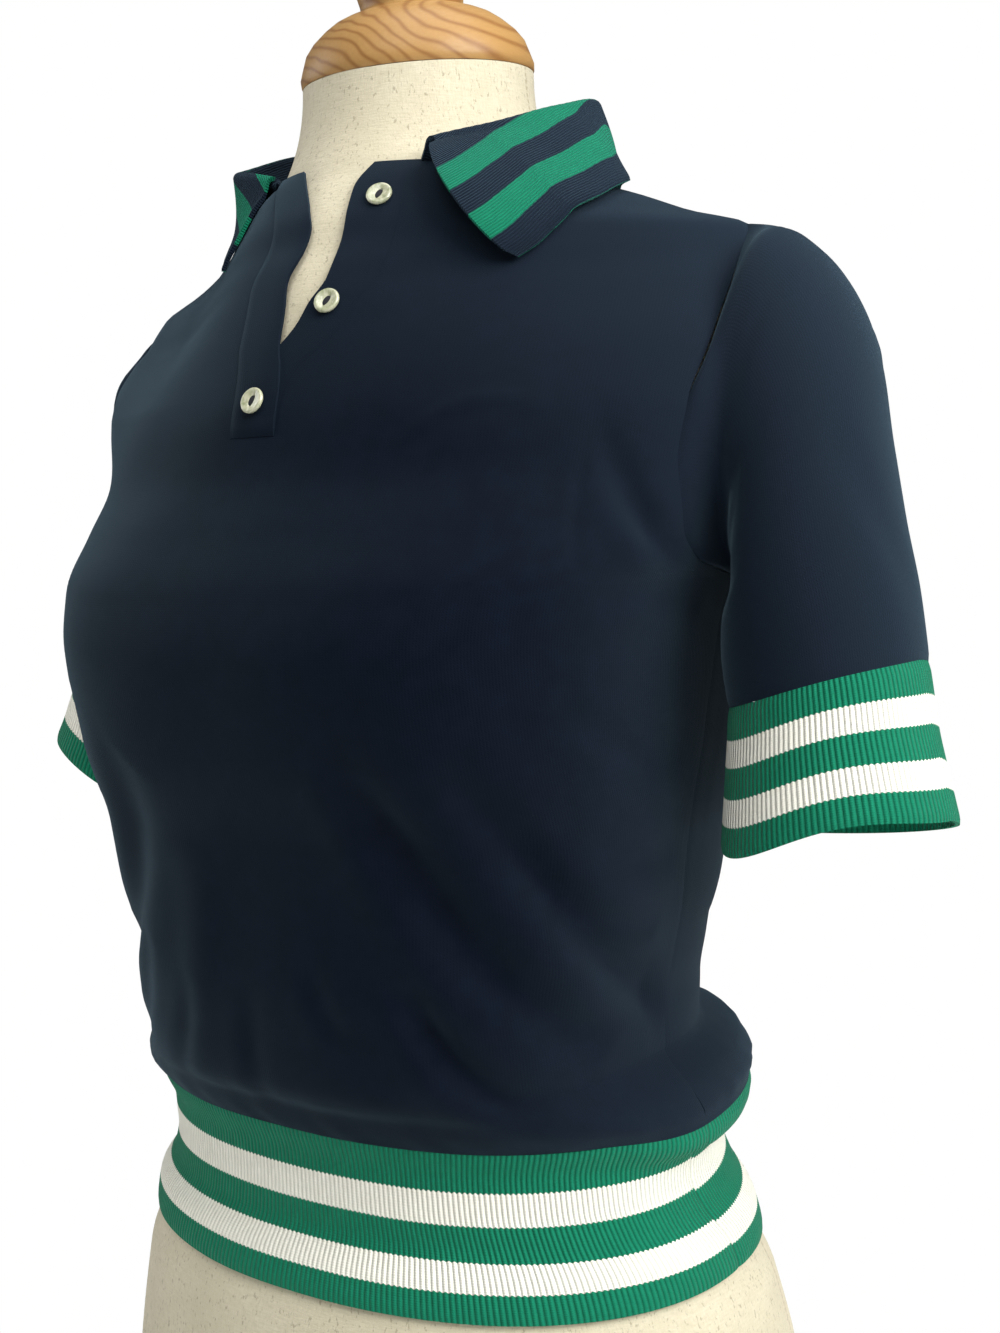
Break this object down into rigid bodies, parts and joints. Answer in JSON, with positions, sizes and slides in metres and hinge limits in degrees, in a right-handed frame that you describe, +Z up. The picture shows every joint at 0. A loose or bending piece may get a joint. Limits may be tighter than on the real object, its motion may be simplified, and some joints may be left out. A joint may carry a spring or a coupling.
{
  "type": "polo sweater on a limbless dress form",
  "caption": "Short-sleeved knit polo with striped ribs and a soft striped collar, open at the neck, worn on a linen dress form with a turned cap.",
  "frame": {"origin": "centre of the dress form's flat base", "axes": "+Z up, -Y to the front of the garment, +X to the wearer's left"},
  "size_m": [0.5, 0.2985, 0.7219],
  "materials": {
    "navy_knit": "fine navy jersey, matt, with a light nap",
    "collar_rib": "fine navy ribbing with two green stripes, fuzzy",
    "striped_rib": "ribbing in green and cream-white stripes, matt",
    "pearl_button": "polished pearl",
    "linen_cover": "natural linen canvas with dark flecks",
    "turned_wood": "turned pale wood, satin"
  },
  "bodies": {
    "root": {"front_panel": "navy_knit", "back_panel": "navy_knit", "sleeve_left": "navy_knit", "sleeve_right": "navy_knit", "placket_over": "navy_knit", "placket_under": "navy_knit", "collar": "collar_rib", "cuff_left": "striped_rib", "cuff_right": "striped_rib", "hem_rib_front": "striped_rib", "hem_rib_back": "striped_rib", "button_1": "pearl_button", "button_2": "pearl_button", "button_3": "pearl_button", "form_torso": "linen_cover", "form_cap": "turned_wood"}
  },
  "joints": []
}
